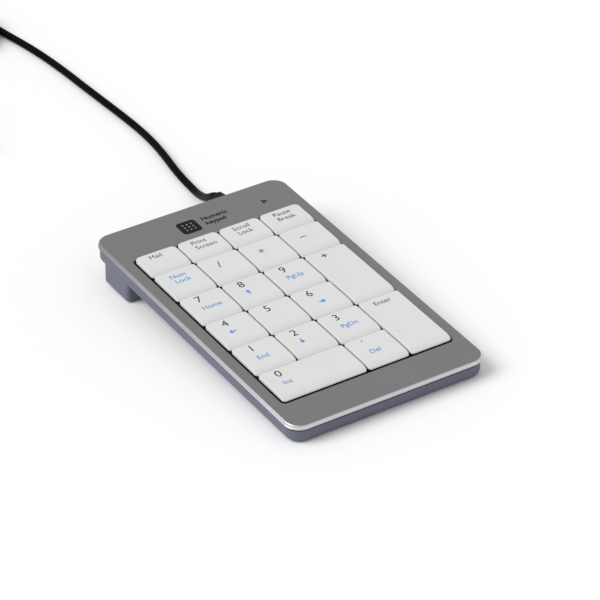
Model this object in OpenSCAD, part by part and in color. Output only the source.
// Low numeric keypad: a tilted case, sprung keycaps over a dome sheet, and a USB lead put away in a coil.
// Millimetres. The case is drawn level in its own deck frame and stood on its feet by deck().
// Deck frame: x across, y to the back from the middle of the five full key rows, z up from the cover's top.

/* [Case] */
// Width of the top cover
case_w = 87; // [86:0.5:90]
// From the middle of the full key rows to the front of the cover
case_front = 63.1; // [62:0.1:66]
// From the middle of the full key rows to the back of the cover
case_back = 84.9; // [84:0.1:88]
// Plan radius of the cover's corners
corner_r = 6.5; // [6:0.1:9]
// Rounding of the cover's upper edge
edge_r = 1.2; // [0.8:0.1:1.2]
// Height of the cover's side wall
cover_side = 2.1; // [2:0.1:2.6]
// Slope that the rear riser gives the case, in degrees
tilt = 3.7; // [3.5:0.1:3.8]
// Depth of the rear riser below the cover's top
riser_depth = 15.8; // [15.4:0.1:15.9]

/* [Keys] */
// Spacing of the keys
pitch = 19; // [18.8:0.05:19.05]
// Spacing of the shallow top row
top_row_pitch = 15; // [14.6:0.1:15.2]
// Gap between neighbouring keycaps
key_gap = 0.9; // [0.8:0.05:1]
// Height of the keycaps above the cover
key_stand = 1.5; // [1.4:0.1:1.6]
// Travel of a key
travel = 2; // [1.6:0.1:2]
// Length of the rolled-off front of a keycap's top
roll_length = 4; // [3:0.5:4]
// Drop of a keycap's top at its front edge
roll_drop = 1.1; // [0.8:0.1:1.1]

/* [Lead] */
// Diameter of the lead
lead_d = 3.2; // [3:0.1:3.2]
// Turns in each of the coil's two layers
coil_turns = 5.25; // [4.25:1:5.25]

/* [Hidden] */
$fn = 48;
HULL_FN = 32;
eps = 0.01;
big = 400;

// Heights in the deck frame, from the cover's top down
cover_t = 1.3;
cap_t = 1.1;
skirt_z = 0;
barrel_top_z = -1.75;
frame_top_z = -3.7;
frame_t = 1;
dome_top_z = -2.42;
dome_sheet_top_z = -5.4;
dome_sheet_t = 0.35;
film_t = 0.1;
plate_t = 0.5;
film_top_z = dome_sheet_top_z - dome_sheet_t;
plate_top_z = film_top_z - 3 * film_t;
plate_bottom_z = plate_top_z - plate_t;
floor_top_z = -6.9;
tray_bottom_z = -8.1;
tray_top_z = -2.9;

// Outlines
tray_inset = 0.6;
tray_wall = 2;
cover_wall = 1.7;
half_w = case_w / 2;
window_gap = 0.7;
field_x = 2 * pitch - key_gap / 2;
field_front = -2.5 * pitch + key_gap / 2;
field_back = 2.5 * pitch + top_row_pitch - key_gap / 2;
plate_x = 39.7;
plate_front = -49.2;
plate_back = 63.75;
riser_front = 58.5;
riser_back = 77;
riser_wall = 1.6;
riser_corner_r = 1.6;

// How the deck stands on the ground plane z = 0
foot_y = -52;
foot_x = 33;
foot_d = 10;
foot_fit = 0.2;
foot_seat_z = tray_bottom_z + 0.3;
foot_bottom_z = -8.95;
foot_low_z = -22;
rear_foot_x = [19, 41.3];
rear_foot_y = [60.1, 72.5];
rear_foot_r = 2;
rear_foot_seat_z = 0.3 - riser_depth;
deck_z = -foot_y * sin(tilt) - foot_bottom_z * cos(tilt);
world_back = case_back * cos(tilt) + cover_side * sin(tilt);
world_front = -case_front * cos(tilt) + edge_r * sin(tilt);
deck_y = -(world_back + world_front) / 2;

// Keys: name, column of the left edge, row of the front edge, columns wide, rows deep.
// Row 0 is the front row; row 5 is the shallow top row.
KEYS = [
    ["mail", 0, 5, 1, 1], ["print", 1, 5, 1, 1], ["scroll", 2, 5, 1, 1], ["pause", 3, 5, 1, 1],
    ["numlock", 0, 4, 1, 1], ["slash", 1, 4, 1, 1], ["star", 2, 4, 1, 1], ["minus", 3, 4, 1, 1],
    ["7", 0, 3, 1, 1], ["8", 1, 3, 1, 1], ["9", 2, 3, 1, 1], ["plus", 3, 2, 1, 2],
    ["4", 0, 2, 1, 1], ["5", 1, 2, 1, 1], ["6", 2, 2, 1, 1],
    ["1", 0, 1, 1, 1], ["2", 1, 1, 1, 1], ["3", 2, 1, 1, 1], ["enter", 3, 0, 1, 2],
    ["0", 0, 0, 2, 1], ["dot", 2, 0, 1, 1]
];
function key_name(k) = str("keycap_", k[0]);
function key_w(k) = k[3] * pitch - key_gap;
function key_d(k) = (k[2] == 5 ? top_row_pitch : k[4] * pitch) - key_gap;
function key_x(k) = (k[1] - 2 + k[3] / 2) * pitch;
function key_y(k) = (k[2] - 2.5) * pitch + (k[2] == 5 ? top_row_pitch : k[4] * pitch) / 2;
function is_long(k) = k[3] > 1 || k[4] > 1;
function named(name) = [for (k = KEYS) if (k[0] == name) k][0];

// Key mechanism
cap_wall = 1;
cap_corner = 1.2;
barrel_d = 9.6;
bore_d = 8.1;
plunger_d = 8;
plunger_bore = 6.6;
plunger_end_z = -3.25;
fin_reach = 9.5;
fin_t = 1;
fin_slot = 1.4;
boss_d = 3;
dome_base_d = 6.2;
dome_top_d = 3.6;

// Stabiliser wires of the long keys: u runs along the key, v across it
wire_d = 1;
wire_arm = 8;
wire_drop = travel;
wire_v = 6.6;
wire_z = -2.6;
wire_reach = sqrt(wire_arm * wire_arm - wire_drop * wire_drop);
wire_half = 12;
wire_pin = 14.2;
wire_bend_r = 0.8;
clip_u = 6;
clip_w = 2;
clip_depth = 2.2;
clip_bore = 1.1;
lug_u = 12.7;
lug_t = 1.2;

// Fasteners
case_screws_at = [[-36.5, -55.5], [36.5, -55.5], [-36.5, 79.6], [36.5, 79.6]];
plate_screws_at = [for (x = [-19, 19], y = [-28.5, 9.5, 47.5]) [x, y]];
board_screws_at = [[-24, 68], [24, 68]];
case_boss_d = 5.2;
case_pillar_d = 6.8;
case_pillar_top = -4.5;
case_head_seat = -6.2;
case_pilot_d = 1.9;
plate_boss_d = 3.8;
plate_pilot_d = 1.4;
plate_hole_d = 1.9;

// Electronics
board_top_z = film_top_z - film_t;
board_t = 1;
board_x = 32;
board_front = 64;
board_back = 80.6;
tail_x = [-13.5, 5.5];
light_at = [28.4, 72];
badge_at = [-6.7, 71.8];
badge_size = 8.6;
chip_at = [-4, 74];
chip_half = 3.5;
crystal_at = [-19, 75];
capacitor_at = [8.5, 77];
capacitor_d = 4;

// Lead, in the standing frame. The route is the centreline from the strain relief to the coil.
exit_x = 17.5;
exit_z = -3.7;
collar_end = 89.4;
coil_at = [-1, 294];
coil_lift = 0.5;
coil_mid_r = 18.2;
coil_step = lead_d;
coil_out_r = coil_mid_r + coil_step * coil_turns / 2;
coil_in_r = coil_mid_r - coil_step * coil_turns / 2;
LEAD_ROUTE = [
    [17.5, 78.5, 14.4], [17.6, 82, 13], [18.2, 86.5, 10.2], [19.4, 91.5, 7.2], [21, 97.5, 4.5],
    [22.5, 104, 2.4], [23.6, 111, 1.6], [24.6, 120, 1.6], [26, 129, 1.6], [27.8, 138.5, 1.6],
    [29.4, 148, 1.6], [30.5, 157.5, 1.6], [31.1, 167, 1.6], [31.3, 177, 1.6], [31.3, 187, 1.6],
    [31.2, 197, 1.6], [31.1, 207, 1.6], [31, 217, 1.6], [31, 227, 1.6], [30.8, 237, 1.6],
    [30.4, 247, 1.6], [29.6, 257, 1.7], [28.4, 267, 1.8], [27, 276, 2], [25.9, 285, 2.1],
    [25.6, 294, 2.1]
];
TAIL_ROUTE = [
    [-27.6, 294, 5.3], [-28, 287, 4.7], [-29.5, 279, 3], [-32, 271, 1.8], [-34.8, 263, 1.6],
    [-37, 255, 2], [-37.9, 248, 3.2], [-38, 242, 4]
];
plug_at = [-38, 242, 4];
plug_grip_l = 25;
plug_relief_l = 9;
plug_grip_w = 15.4;
plug_grip_t = 7.8;
plug_shell_l = 18.5;
plug_shell_w = 12;
plug_shell_t = 4.5;
plug_shell_wall = 0.3;

// Stands the level case on its feet
module deck() {
    translate([0, deck_y, deck_z]) rotate([tilt, 0, 0]) children();
}

// Rectangle with round corners, as a plain outline
module round_rect(x0, x1, y0, y1, r) {
    translate([x0 + r, y0]) square([x1 - x0 - 2 * r, y1 - y0]);
    translate([x0, y0 + r]) square([x1 - x0, y1 - y0 - 2 * r]);
    for (x = [x0 + r, x1 - r], y = [y0 + r, y1 - r]) translate([x, y]) circle(r);
}

module slab(x0, x1, y0, y1, r, z0, z1) {
    translate([0, 0, z0]) linear_extrude(z1 - z0) round_rect(x0, x1, y0, y1, r);
}

module block(x0, x1, y0, y1, z0, z1) {
    translate([x0, y0, z0]) cube([x1 - x0, y1 - y0, z1 - z0]);
}

module post(at, d, z0, z1) {
    translate([at[0], at[1], z0]) cylinder(d = d, h = z1 - z0);
}

// Slab whose upper and lower edges are rounded by top_r and low_r
module soft_slab(x0, x1, y0, y1, r, z0, z1, top_r, low_r) {
    hull()
        for (x = [x0 + r, x1 - r], y = [y0 + r, y1 - r])
            translate([x, y, z0]) rotate_extrude($fn = HULL_FN)
                soft_edge(r, z1 - z0, top_r, low_r);
}

// Half section of a round puck with rounded rims
module soft_edge(r, h, top_r, low_r) {
    translate([0, low_r]) square([r, h - low_r - top_r]);
    square([r - max(top_r, low_r), h]);
    intersection() {
        square([r, h]);
        union() {
            if (top_r > 0) translate([r - top_r, h - top_r]) circle(top_r, $fn = HULL_FN);
            if (low_r > 0) translate([r - low_r, low_r]) circle(low_r, $fn = HULL_FN);
        }
    }
}

// Tube of round section along a list of points that never runs straight up
function unit(v) = v / norm(v);
function heading(p, i) = unit(p[min(i + 1, len(p) - 1)] - p[max(i - 1, 0)]);
function ring_at(p, i, r, sides) =
    let (t = heading(p, i), side = unit(cross(t, [0, 0, 1])), up = cross(side, t))
    [for (s = [0:sides - 1]) p[i] + r * (cos(360 * s / sides) * side + sin(360 * s / sides) * up)];
module tube(points, d, sides = 8) {
    last = len(points) - 1;
    rings = [for (i = [0:last]) each ring_at(points, i, d / 2, sides)];
    walls = [for (i = [0:last - 1], s = [0:sides - 1])
        let (a = i * sides + s, b = i * sides + (s + 1) % sides) [a, b, b + sides, a + sides]];
    caps = [[for (s = [sides - 1:-1:0]) s], [for (s = [0:sides - 1]) last * sides + s]];
    polyhedron(rings, concat(walls, caps), convexity = 10);
}

// Case

module top_cover() {
    rim = 1.3;
    color("#7d7e80") deck() difference() {
        union() {
            difference() {
                soft_slab(-half_w, half_w, -case_front, case_back, corner_r, -cover_side, 0, edge_r, 0);
                slab(-half_w + cover_wall, half_w - cover_wall, -case_front + cover_wall,
                    case_back - cover_wall, corner_r - cover_wall, -big, -cover_t);
            }
            slab(-field_x - window_gap - rim, field_x + window_gap + rim,
                field_front - window_gap - rim, field_back + window_gap + rim, 2, frame_top_z, -cover_t);
            for (p = case_screws_at) post(p, case_boss_d, case_pillar_top, -cover_t);
        }
        slab(-field_x - window_gap, field_x + window_gap, field_front - window_gap,
            field_back + window_gap, 1.8, -big, big);
        for (p = case_screws_at) post(p, case_pilot_d, -big, -0.9);
        translate([light_at[0], light_at[1], -big / 2]) cylinder(r = 1.55, h = big, $fn = 3);
        slab(badge_at[0] - badge_size / 2, badge_at[0] + badge_size / 2, badge_at[1] - badge_size / 2,
            badge_at[1] + badge_size / 2, 1.6, -0.3, 1);
        lead_hole();
    }
}

module lead_hole() {
    translate([exit_x, 70, exit_z]) rotate([-90, 0, 0]) cylinder(d = 4.2, h = 30);
}

module bottom_shell() {
    x = half_w - tray_inset;
    front = -case_front + tray_inset;
    back = case_back - tray_inset;
    r = corner_r - tray_inset;
    lip = 0.7;
    color("#6c6d80") deck() difference() {
        union() {
            difference() {
                union() {
                    soft_slab(-x, x, front, back, r, tray_bottom_z, tray_top_z, 0, 1.8);
                    soft_slab(-x, x, riser_front, riser_back, riser_corner_r, -riser_depth,
                        tray_bottom_z + 2, 0, 1.2);
                    slab(-x + tray_wall - lip, x - tray_wall + lip, front + tray_wall - lip,
                        back - tray_wall + lip, r - tray_wall + lip, tray_top_z - 1, -1.5);
                }
                slab(-x + tray_wall, x - tray_wall, front + tray_wall, back - tray_wall,
                    r - tray_wall, floor_top_z, big);
                slab(-x + riser_wall, x - riser_wall, riser_front + riser_wall, riser_back - riser_wall,
                    1.4, riser_wall - riser_depth, floor_top_z + 1);
            }
            for (p = case_screws_at) post(p, case_pillar_d, tray_bottom_z + 0.2, case_pillar_top);
            for (rx = [-30, 0, 30]) block(rx - 0.7, rx + 0.7, -48, 57, floor_top_z - eps, plate_bottom_z);
            for (p = board_screws_at) post(p, 5, 0.5 - riser_depth, board_top_z - board_t);
            for (p = board_screws_at)
                block(p[0] - 0.7, p[0] + 0.7, riser_front + 1, riser_back - 1, 0.5 - riser_depth,
                    board_top_z - board_t - 0.05);
        }
        for (p = case_screws_at) {
            post(p, 4.6, -big, case_head_seat);
            post(p, 2.6, -big, big);
        }
        for (p = board_screws_at) post(p, 1.5, -13, big);
        for (fx = [-foot_x, foot_x]) post([fx, foot_y], foot_d + foot_fit, -big, foot_seat_z);
        for (side = [-1, 1]) rear_foot_outline(side, foot_fit / 2, -big, rear_foot_seat_z);
        lead_hole();
    }
}

module rear_foot_outline(side, grow, z0, z1) {
    near = side * rear_foot_x[0];
    far = side * rear_foot_x[1];
    slab(min(near, far) - grow, max(near, far) + grow, rear_foot_y[0] - grow, rear_foot_y[1] + grow,
        rear_foot_r, z0, z1);
}

// Keeps what is above the ground plane
module above_ground() {
    intersection() {
        children();
        translate([-big / 2, -big / 2, 0]) cube([big, big, 40]);
    }
}

module front_feet() {
    color("#1c1c1e") above_ground()
        deck() for (fx = [-foot_x, foot_x]) post([fx, foot_y], foot_d, foot_low_z, foot_seat_z);
}

module rear_feet() {
    color("#1c1c1e") above_ground()
        deck() for (side = [-1, 1]) rear_foot_outline(side, 0, foot_low_z, rear_foot_seat_z);
}

module case_screws() {
    color("#b9bcc0") deck() for (p = case_screws_at) {
        difference() {
            post(p, 4.2, case_head_seat - 1.3, case_head_seat);
            translate([p[0], p[1], case_head_seat - 1.3]) cross_recess(2.4, 0.8);
        }
        post(p, 2.2, case_head_seat, -1.2);
    }
}

// Cross-shaped driver recess that opens downwards
module cross_recess(size, depth) {
    for (a = [0, 90]) rotate([0, 0, a]) translate([-size / 2, -0.25, -1]) cube([size, 0.5, depth + 1]);
}

// Key mechanism

module key_frame() {
    color("#4a4c50") deck() difference() {
        union() {
            slab(-plate_x, plate_x, plate_front, plate_back, 2, frame_top_z - frame_t, frame_top_z);
            difference() {
                slab(-plate_x, plate_x, plate_front, plate_back, 2, dome_sheet_top_z, frame_top_z - 0.5);
                slab(-plate_x + 1.2, plate_x - 1.2, plate_front + 1.2, plate_back - 1.2, 1,
                    -big, frame_top_z - 0.5 + eps);
            }
            for (k = KEYS) post([key_x(k), key_y(k)], barrel_d, frame_top_z - frame_t, barrel_top_z);
            for (p = plate_screws_at) post(p, plate_boss_d, dome_sheet_top_z, frame_top_z);
            for (k = KEYS) if (is_long(k)) at_key(k)
                for (s = [-1, 1]) block(s * clip_u - clip_w / 2, s * clip_u + clip_w / 2,
                    wire_v - clip_depth / 2, wire_v + clip_depth / 2, frame_top_z - 0.5, barrel_top_z);
        }
        for (k = KEYS) {
            post([key_x(k), key_y(k)], bore_d, -big, big);
            block(key_x(k) - fin_reach / 2 - 0.25, key_x(k) + fin_reach / 2 + 0.25,
                key_y(k) - fin_slot / 2, key_y(k) + fin_slot / 2, -big, big);
            if (is_long(k)) at_key(k)
                translate([-clip_u - clip_w, wire_v, wire_z]) rotate([0, 90, 0])
                    cylinder(d = clip_bore, h = 2 * (clip_u + clip_w));
        }
        for (p = plate_screws_at) post(p, plate_pilot_d, -big, frame_top_z - 0.3);
    }
}

// Puts u along a key's long side and v across it: a tall key's v is +x and its u is -y
module at_key(k) {
    translate([key_x(k), key_y(k), 0]) rotate([0, 0, k[4] > 1 ? -90 : 0]) children();
}

module dome_sheet() {
    color("#c9cdd0") deck() difference() {
        union() {
            slab(-plate_x, plate_x, plate_front, plate_back, 2, film_top_z, dome_sheet_top_z);
            for (k = KEYS) translate([key_x(k), key_y(k), dome_sheet_top_z - eps])
                cylinder(d1 = dome_base_d, d2 = dome_top_d, h = dome_top_z - dome_sheet_top_z + eps);
        }
        for (k = KEYS) translate([key_x(k), key_y(k), film_top_z - eps])
            cylinder(d1 = dome_base_d - 1, d2 = dome_top_d - 1.2, h = 2.5);
        for (p = plate_screws_at) post(p, plate_hole_d, -big, big);
    }
}

module film(z, hole_d) {
    difference() {
        slab(-plate_x, plate_x, plate_front, plate_back, 2, z, z + film_t);
        for (p = plate_screws_at) post(p, plate_hole_d, -big, big);
        if (hole_d > 0) for (k = KEYS) post([key_x(k), key_y(k)], hole_d, -big, big);
    }
}

module membrane_upper() {
    z = film_top_z - film_t;
    color("#b7c4b0") deck() {
        film(z, 0);
        block(tail_x[0], tail_x[1], plate_back - 0.5, 67.5, z, z + film_t);
    }
}

module membrane_spacer() {
    color("#dfe3e4") deck() film(film_top_z - 2 * film_t, 5);
}

module membrane_lower() {
    color("#a9b8a4") deck() film(film_top_z - 3 * film_t, 0);
}

module support_plate() {
    color("#9fa3a8") deck() difference() {
        slab(-plate_x, plate_x, plate_front, plate_back, 2, plate_bottom_z, plate_top_z);
        for (p = plate_screws_at) post(p, plate_hole_d, -big, big);
    }
}

module plate_screws() {
    color("#b9bcc0") deck() for (p = plate_screws_at) {
        post(p, 3.2, plate_bottom_z - 0.3, plate_bottom_z);
        post(p, 1.6, plate_bottom_z, frame_top_z - 0.4);
    }
}

// Keycap: hollow cap whose top rolls off at the front, guided by a tube plunger with two fins
module keycap(k) {
    w = key_w(k);
    d = key_d(k);
    roll_r = (roll_length * roll_length + roll_drop * roll_drop) / (2 * roll_drop);
    ceiling = key_stand - cap_t;
    color("#e9e9ea") deck() translate([key_x(k), key_y(k), 0]) {
        difference() {
            intersection() {
                slab(-w / 2, w / 2, -d / 2, d / 2, cap_corner, skirt_z, key_stand);
                rotate([90, 0, 90]) translate([0, 0, -w / 2 - 1]) linear_extrude(w + 2)
                    cap_side(d, roll_r);
            }
            slab(-w / 2 + cap_wall, w / 2 - cap_wall, -d / 2 + cap_wall, d / 2 - cap_wall, 0.5,
                -big, ceiling);
        }
        difference() {
            union() {
                post([0, 0], plunger_d, plunger_end_z, ceiling + 0.3);
                block(-fin_reach / 2, fin_reach / 2, -fin_t / 2, fin_t / 2, plunger_end_z, ceiling + 0.3);
            }
            post([0, 0], plunger_bore, -big, ceiling);
        }
        post([0, 0], boss_d, dome_top_z + 0.02, ceiling + 0.3);
        if (is_long(k)) rotate([0, 0, k[4] > 1 ? -90 : 0]) for (s = [-1, 1]) cap_lug(s, ceiling);
    }
}

// Side view of a keycap: flat top, then an arc that drops towards the front
module cap_side(d, roll_r) {
    translate([-d / 2 + roll_length, skirt_z]) square([d - roll_length, key_stand - skirt_z]);
    intersection() {
        translate([-d / 2, skirt_z]) square([roll_length + eps, key_stand - skirt_z]);
        translate([-d / 2 + roll_length, key_stand - roll_r]) circle(roll_r, $fn = 96);
    }
}

// Slotted lug under a long keycap that holds one end of its wire
module cap_lug(s, ceiling) {
    slot_v = wire_v - (wire_reach + wire_arm) / 2;
    slot_z = wire_z + wire_drop;
    difference() {
        block(s * (lug_u + lug_t / 2) - lug_t / 2, s * (lug_u + lug_t / 2) + lug_t / 2,
            slot_v - 1.7, slot_v + 1.7, slot_z - 1, ceiling + 0.3);
        block(s * (lug_u + lug_t / 2) - lug_t, s * (lug_u + lug_t / 2) + lug_t,
            slot_v - 0.8, slot_v + 0.8, slot_z - 0.65, slot_z + 0.65);
    }
}

// Wire: a bar turning in two clips, two rising arms, and an outward pin on each arm
module stabiliser(k) {
    low = [0, wire_v, wire_z];
    high = [0, wire_v - wire_reach, wire_z + wire_drop];
    along = [1, 0, 0];
    rise = unit(high - low);
    color("#c3c6ca") deck() at_key(k)
        tube(concat(
            [high - wire_pin * along],
            wire_bend(high - wire_half * along, along, -rise),
            wire_bend(low - wire_half * along, -rise, along),
            wire_bend(low + wire_half * along, along, rise),
            wire_bend(high + wire_half * along, rise, along),
            [high + wire_pin * along]), wire_d, 12);
}

// Three points that round a square corner between the directions a and b
function wire_bend(corner, a, b) = [
    corner - wire_bend_r * a, corner + wire_bend_r * (1 - sqrt(0.5)) * (b - a), corner + wire_bend_r * b];

module wire_plus() { stabiliser(named("plus")); }
module wire_enter() { stabiliser(named("enter")); }
module wire_zero() { stabiliser(named("0")); }

// Electronics

module controller_board() {
    color("#2f6b45") deck() difference() {
        slab(-board_x, board_x, board_front, board_back, 1, board_top_z - board_t, board_top_z);
        for (p = board_screws_at) post(p, 2.1, -big, big);
        for (x = clamp_pegs()) post([x, 66], 1.7, -big, big);
    }
}

function clamp_pegs() = [tail_x[0] - 1.8, tail_x[1] + 1.8];

module membrane_clamp() {
    color("#d8d9da") deck() {
        slab(tail_x[0] - 3.2, tail_x[1] + 3.2, 64.6, 67.4, 0.8, film_top_z, film_top_z + 1.1);
        for (x = clamp_pegs()) post([x, 66], 1.6, board_top_z - board_t - 0.5, film_top_z + 0.5);
    }
}

module board_screws() {
    color("#b9bcc0") deck() for (p = board_screws_at) {
        difference() {
            post(p, 3.4, board_top_z, board_top_z + 1);
            translate([p[0], p[1], board_top_z + 1]) mirror([0, 0, 1]) cross_recess(1.9, 0.6);
        }
        post(p, 1.8, board_top_z - 5.5, board_top_z);
    }
}

module controller_chip() {
    lead_pitch = 1.05;
    color("#26272a") deck() translate([chip_at[0], chip_at[1], board_top_z]) {
        slab(-chip_half, chip_half, -chip_half, chip_half, 0.3, 0.1, 1.1);
        for (a = [0:90:270], i = [-2.5:1:2.5]) rotate([0, 0, a])
            block(chip_half - 0.2, chip_half + 0.9, i * lead_pitch - 0.2, i * lead_pitch + 0.2, 0, 0.3);
    }
}

module crystal() {
    color("#c8cacd") deck() translate([crystal_at[0], crystal_at[1], board_top_z]) {
        slab(-5, 5, -2.1, 2.1, 2.05, 0.4, 2.6);
        slab(-5.4, 5.4, -2.4, 2.4, 2.35, 0, 0.5);
    }
}

module capacitor() {
    base = capacitor_d / 2 + 0.2;
    color("#3b4250") deck() translate([capacitor_at[0], capacitor_at[1], board_top_z]) {
        cylinder(d = capacitor_d, h = 3.8);
        block(-base, base, -base, base, 0, 0.4);
    }
}

module status_led() {
    color("#dfe9d8") deck() {
        block(light_at[0] - 1.6, light_at[0] + 1.6, light_at[1] - 0.8, light_at[1] + 0.8,
            board_top_z, board_top_z + 0.7);
        post(light_at, 1.4, board_top_z + 0.6, board_top_z + 1.2);
    }
}

module light_pipe() {
    color("#2a2d30") deck() {
        translate([light_at[0], light_at[1], -4.4]) cylinder(r = 1.45, h = 4.4, $fn = 3);
        post(light_at, 4.2, -cover_t - 0.8, -cover_t);
    }
}

module badge() {
    half = badge_size / 2 - 0.05;
    color("#17181a") deck() slab(badge_at[0] - half, badge_at[0] + half, badge_at[1] - half,
        badge_at[1] + half, 1.55, -0.3, 0.06);
}

module lead_connector() {
    color("#e6e3d6") deck() block(exit_x - 4, exit_x + 4, 66.5, 70.5, board_top_z, board_top_z + 2.6);
}

module inner_wires() {
    wire_gap = 1.5;
    color("#a33a34") deck() for (i = [-1.5:1:1.5])
        tube([[exit_x + i, 80.9, exit_z + 0.3], [exit_x + i, 78.5, exit_z + 0.4],
            [exit_x + i * 1.2, 75, exit_z], [exit_x + i * wire_gap, 72.5, exit_z - 0.5],
            [exit_x + i * wire_gap, 70.5, exit_z - 0.6]], 0.9);
}

// Lead and plug

module strain_relief() {
    color("#161617") deck() {
        translate([exit_x, 82.25, exit_z]) rotate([-90, 0, 0]) cylinder(d = 4, h = 4);
        translate([exit_x, case_back + 0.05, exit_z]) rotate([-90, 0, 0])
            cylinder(d1 = 5.8, d2 = 4.6, h = collar_end - case_back - 0.05);
        block(exit_x - 4.5, exit_x + 4.5, 80.9, 82.25, exit_z - 2.3, exit_z + 2.3);
    }
}

module lead() {
    color("#161617") tube(LEAD_ROUTE, lead_d);
}

module lead_coil() {
    r_out = coil_out_r + lead_d / 2;
    r_in = coil_in_r - lead_d / 2;
    color("#161617") translate([coil_at[0], coil_at[1], coil_lift]) rotate_extrude($fn = 96)
        translate([r_in, 0]) square([r_out - r_in, 2 * lead_d]);
}

module coil_tie() {
    r_out = coil_out_r + lead_d / 2;
    r_in = coil_in_r - lead_d / 2;
    skin = 0.5;
    half = 3.5;
    color("#2b2b2d") translate([coil_at[0], coil_at[1], 0]) difference() {
        block(-half, half, r_in - 1, r_out + 0.5, 0, 2 * lead_d + 2 * skin);
        translate([0, 0, coil_lift]) difference() {
            cylinder(r = r_out, h = 2 * lead_d, $fn = 96);
            translate([0, 0, -1]) cylinder(r = r_in, h = big, $fn = 96);
        }
    }
}

module lead_tail() {
    color("#161617") tube(TAIL_ROUTE, lead_d);
}

module usb_grip() {
    w = plug_grip_w;
    t = plug_grip_t;
    color("#161617") translate(plug_at) rotate([90, 0, 0]) {
        cylinder(d1 = lead_d + 1, d2 = 6.4, h = plug_relief_l + 1);
        translate([0, 0, plug_relief_l]) linear_extrude(plug_grip_l)
            round_rect(-w / 2, w / 2, -t / 2, t / 2, 2.2);
    }
}

module usb_shell() {
    w = plug_shell_w;
    t = plug_shell_t;
    wall = plug_shell_wall;
    color("#c9ccd0") translate(plug_at + [0, -plug_relief_l - plug_grip_l, 0]) rotate([90, 0, 0])
        difference() {
            linear_extrude(plug_shell_l) difference() {
                square([w, t], center = true);
                square([w - 2 * wall, t - 2 * wall], center = true);
            }
            for (x = [-3.2, 3.2])
                translate([x - 1.1, -t, 5]) cube([2.2, 2 * t, 2.2]);
        }
}

module usb_tongue() {
    w = plug_shell_w - 2 * plug_shell_wall;
    color("#f0f0ee") translate(plug_at + [0, -plug_relief_l - plug_grip_l, 0]) rotate([90, 0, 0])
        translate([-w / 2, -plug_shell_t / 2 + plug_shell_wall, 0]) cube([w, 1.8, plug_shell_l - 0.4]);
}

top_cover();
bottom_shell();
key_frame();
dome_sheet();
membrane_upper();
membrane_spacer();
membrane_lower();
support_plate();
plate_screws();
case_screws();
controller_board();
controller_chip();
crystal();
capacitor();
lead_connector();
inner_wires();
membrane_clamp();
board_screws();
status_led();
light_pipe();
badge();
front_feet();
rear_feet();
strain_relief();
lead();
lead_coil();
coil_tie();
lead_tail();
usb_grip();
usb_shell();
usb_tongue();
wire_plus();
wire_enter();
wire_zero();
for (k = KEYS)
    keycap(k);
